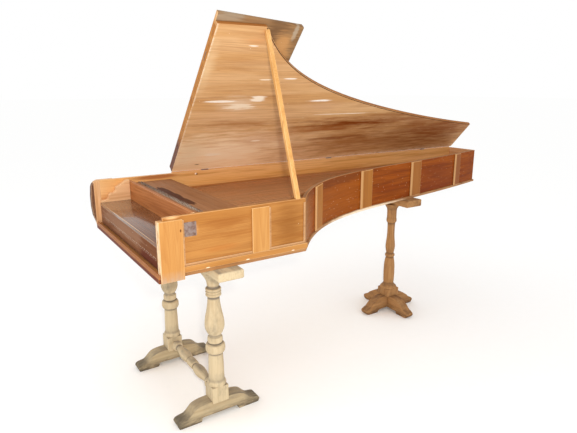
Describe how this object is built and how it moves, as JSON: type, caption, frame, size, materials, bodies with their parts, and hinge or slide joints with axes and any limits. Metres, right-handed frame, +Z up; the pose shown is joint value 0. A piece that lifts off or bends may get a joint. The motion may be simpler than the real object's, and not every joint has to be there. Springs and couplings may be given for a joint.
{
  "type": "fortepiano",
  "caption": "Wing-shaped fortepiano with a panelled curved case and a propped lid folded back in front, on a turned trestle and a tail pedestal.",
  "frame": {"origin": "on the floor, under the middle of the box round the whole object with its lid propped open", "axes": "+Z up, +Y from the keyboard to the tail, +X from the spine on the bass side to the treble side"},
  "size_m": [0.936, 2.464, 1.6008],
  "materials": {
    "case_wood": "aged golden-brown oiled softwood and fruitwood, worn",
    "bentside_wood": "darker red-brown veneered wood with worm holes",
    "inside_wood": "bare brown wood, dusty",
    "soundboard_wood": "thin darkened softwood",
    "dark_moulding": "dark red-brown stained wood",
    "cover_wood": "dark polished top board, dusty front",
    "lid_wood": "light tan planks, unvarnished and worn",
    "flap_wood": "grey-brown weathered wood",
    "stand_wood": "pale limed wood, dirty in the hollows",
    "pedestal_wood": "orange-brown stained wood, dark at the toes",
    "stick_wood": "plain pale stick",
    "key_wood": "plain light wood",
    "iron": "forged iron, dull"
  },
  "bodies": {
    "case": {"spine": "case_wood", "cheek": "case_wood", "front_stile_bass": "case_wood", "front_stile_treble": "case_wood", "cheek_stile": "case_wood", "cheek_bottom_rail": "case_wood", "cheek_moulding_front": "case_wood", "cheek_moulding_rear": "case_wood", "key_cheek_bass": "case_wood", "key_cheek_treble": "case_wood", "nameboard": "case_wood", "bentside_front": "bentside_wood", "bentside_rear": "bentside_wood", "tail_board": "bentside_wood", "bentside_stile_1": "bentside_wood", "bentside_stile_2": "bentside_wood", "bentside_stile_3": "bentside_wood", "bentside_stile_4": "bentside_wood", "bottom_board": "inside_wood", "front_sill": "inside_wood", "wrestplank": "inside_wood", "belly_rail": "inside_wood", "hitchpin_rail": "inside_wood", "hammer_rail": "inside_wood", "soundboard": "soundboard_wood", "front_rail": "dark_moulding", "nut": "dark_moulding", "bridge": "dark_moulding", "trestle_plank": "stand_wood", "trestle_column_bass": "stand_wood", "trestle_column_treble": "stand_wood", "trestle_foot_bass": "stand_wood", "trestle_foot_treble": "stand_wood", "trestle_stretcher": "stand_wood", "pedestal_plank": "pedestal_wood", "pedestal_column": "pedestal_wood", "pedestal_foot_across": "pedestal_wood", "pedestal_foot_along": "pedestal_wood", "key_frame": "key_wood", "lock_plate": "iron", "lid_hinge_1": "iron", "lid_hinge_2": "iron", "lid_hinge_3": "iron"},
    "lid": {"lid_main": "lid_wood"},
    "flap": {"lid_flap": "flap_wood"},
    "prop_stick": {"prop_stick": "stick_wood"},
    "cover": {"cover_top": "cover_wood", "cover_front": "cover_wood"},
    "keys_bass": {"keys_bass": "key_wood"},
    "hammers_bass": {"hammers_bass": "key_wood"},
    "dampers_bass": {"dampers_bass": "key_wood"},
    "keys_tenor": {"keys_tenor": "key_wood"},
    "hammers_tenor": {"hammers_tenor": "key_wood"},
    "dampers_tenor": {"dampers_tenor": "key_wood"},
    "keys_middle": {"keys_middle": "key_wood"},
    "hammers_middle": {"hammers_middle": "key_wood"},
    "dampers_middle": {"dampers_middle": "key_wood"},
    "keys_treble": {"keys_treble": "key_wood"},
    "hammers_treble": {"hammers_treble": "key_wood"},
    "dampers_treble": {"dampers_treble": "key_wood"}
  },
  "joints": [
    {"name": "lid_hinge", "type": "hinge", "parent": "case", "child": "lid", "pos_m": [-0.435, 0.189, 0.9096], "axis": [0, -1, 0], "range_deg": [-48, 0]},
    {"name": "flap_hinge", "type": "hinge", "parent": "lid", "child": "flap", "pos_m": [-0.44563, -0.84, 0.9259], "axis": [0.6691, 0, 0.7431], "range_deg": [0, 180]},
    {"name": "stick_clears_lid", "type": "slide", "parent": "case", "child": "prop_stick", "axis": [1, 0, 0], "range_m": [0, 1.06]},
    {"name": "cover_pulls_off", "type": "slide", "parent": "case", "child": "cover", "axis": [0, -1, 0], "range_m": [0, 0.2]},
    {"name": "keys_bass_press", "type": "hinge", "parent": "case", "child": "keys_bass", "pos_m": [-0.30075, -1.041, 0.7612], "axis": [1, 0, 0], "range_deg": [0, 2.5], "stiffness_Nm_per_rad": 4, "springref_deg": -2.86},
    {"name": "keys_tenor_press", "type": "hinge", "parent": "case", "child": "keys_tenor", "pos_m": [-0.13625, -1.041, 0.7612], "axis": [1, 0, 0], "range_deg": [0, 2.5], "stiffness_Nm_per_rad": 4, "springref_deg": -2.86},
    {"name": "keys_middle_press", "type": "hinge", "parent": "case", "child": "keys_middle", "pos_m": [0.02825, -1.041, 0.7612], "axis": [1, 0, 0], "range_deg": [0, 2.5], "stiffness_Nm_per_rad": 4, "springref_deg": -2.86},
    {"name": "keys_treble_press", "type": "hinge", "parent": "case", "child": "keys_treble", "pos_m": [0.23387, -1.041, 0.7612], "axis": [1, 0, 0], "range_deg": [0, 2.5], "stiffness_Nm_per_rad": 4, "springref_deg": -2.86},
    {"name": "hammers_bass_swing", "type": "hinge", "parent": "case", "child": "hammers_bass", "pos_m": [-0.30075, -0.866, 0.798], "axis": [1, 0, 0], "range_deg": [0, 18.5]},
    {"name": "hammers_tenor_swing", "type": "hinge", "parent": "case", "child": "hammers_tenor", "pos_m": [-0.13625, -0.866, 0.798], "axis": [1, 0, 0], "range_deg": [0, 18.5]},
    {"name": "hammers_middle_swing", "type": "hinge", "parent": "case", "child": "hammers_middle", "pos_m": [0.02825, -0.866, 0.798], "axis": [1, 0, 0], "range_deg": [0, 18.5]},
    {"name": "hammers_treble_swing", "type": "hinge", "parent": "case", "child": "hammers_treble", "pos_m": [0.23387, -0.866, 0.798], "axis": [1, 0, 0], "range_deg": [0, 18.5]},
    {"name": "dampers_bass_lift", "type": "slide", "parent": "case", "child": "dampers_bass", "axis": [0, 0, 1], "range_m": [0, 0.011]},
    {"name": "dampers_tenor_lift", "type": "slide", "parent": "case", "child": "dampers_tenor", "axis": [0, 0, 1], "range_m": [0, 0.011]},
    {"name": "dampers_middle_lift", "type": "slide", "parent": "case", "child": "dampers_middle", "axis": [0, 0, 1], "range_m": [0, 0.011]},
    {"name": "dampers_treble_lift", "type": "slide", "parent": "case", "child": "dampers_treble", "axis": [0, 0, 1], "range_m": [0, 0.011]}
  ],
  "couplings": [
    {"joint": "stick_clears_lid", "follows": "lid_hinge", "m_per_rad": -1.26},
    {"joint": "hammers_bass_swing", "follows": "keys_bass_press", "ratio": 7.2},
    {"joint": "hammers_tenor_swing", "follows": "keys_tenor_press", "ratio": 7.2},
    {"joint": "hammers_middle_swing", "follows": "keys_middle_press", "ratio": 7.2},
    {"joint": "hammers_treble_swing", "follows": "keys_treble_press", "ratio": 7.2},
    {"joint": "dampers_bass_lift", "follows": "keys_bass_press", "m_per_rad": 0.245},
    {"joint": "dampers_tenor_lift", "follows": "keys_tenor_press", "m_per_rad": 0.245},
    {"joint": "dampers_middle_lift", "follows": "keys_middle_press", "m_per_rad": 0.245},
    {"joint": "dampers_treble_lift", "follows": "keys_treble_press", "m_per_rad": 0.245}
  ]
}
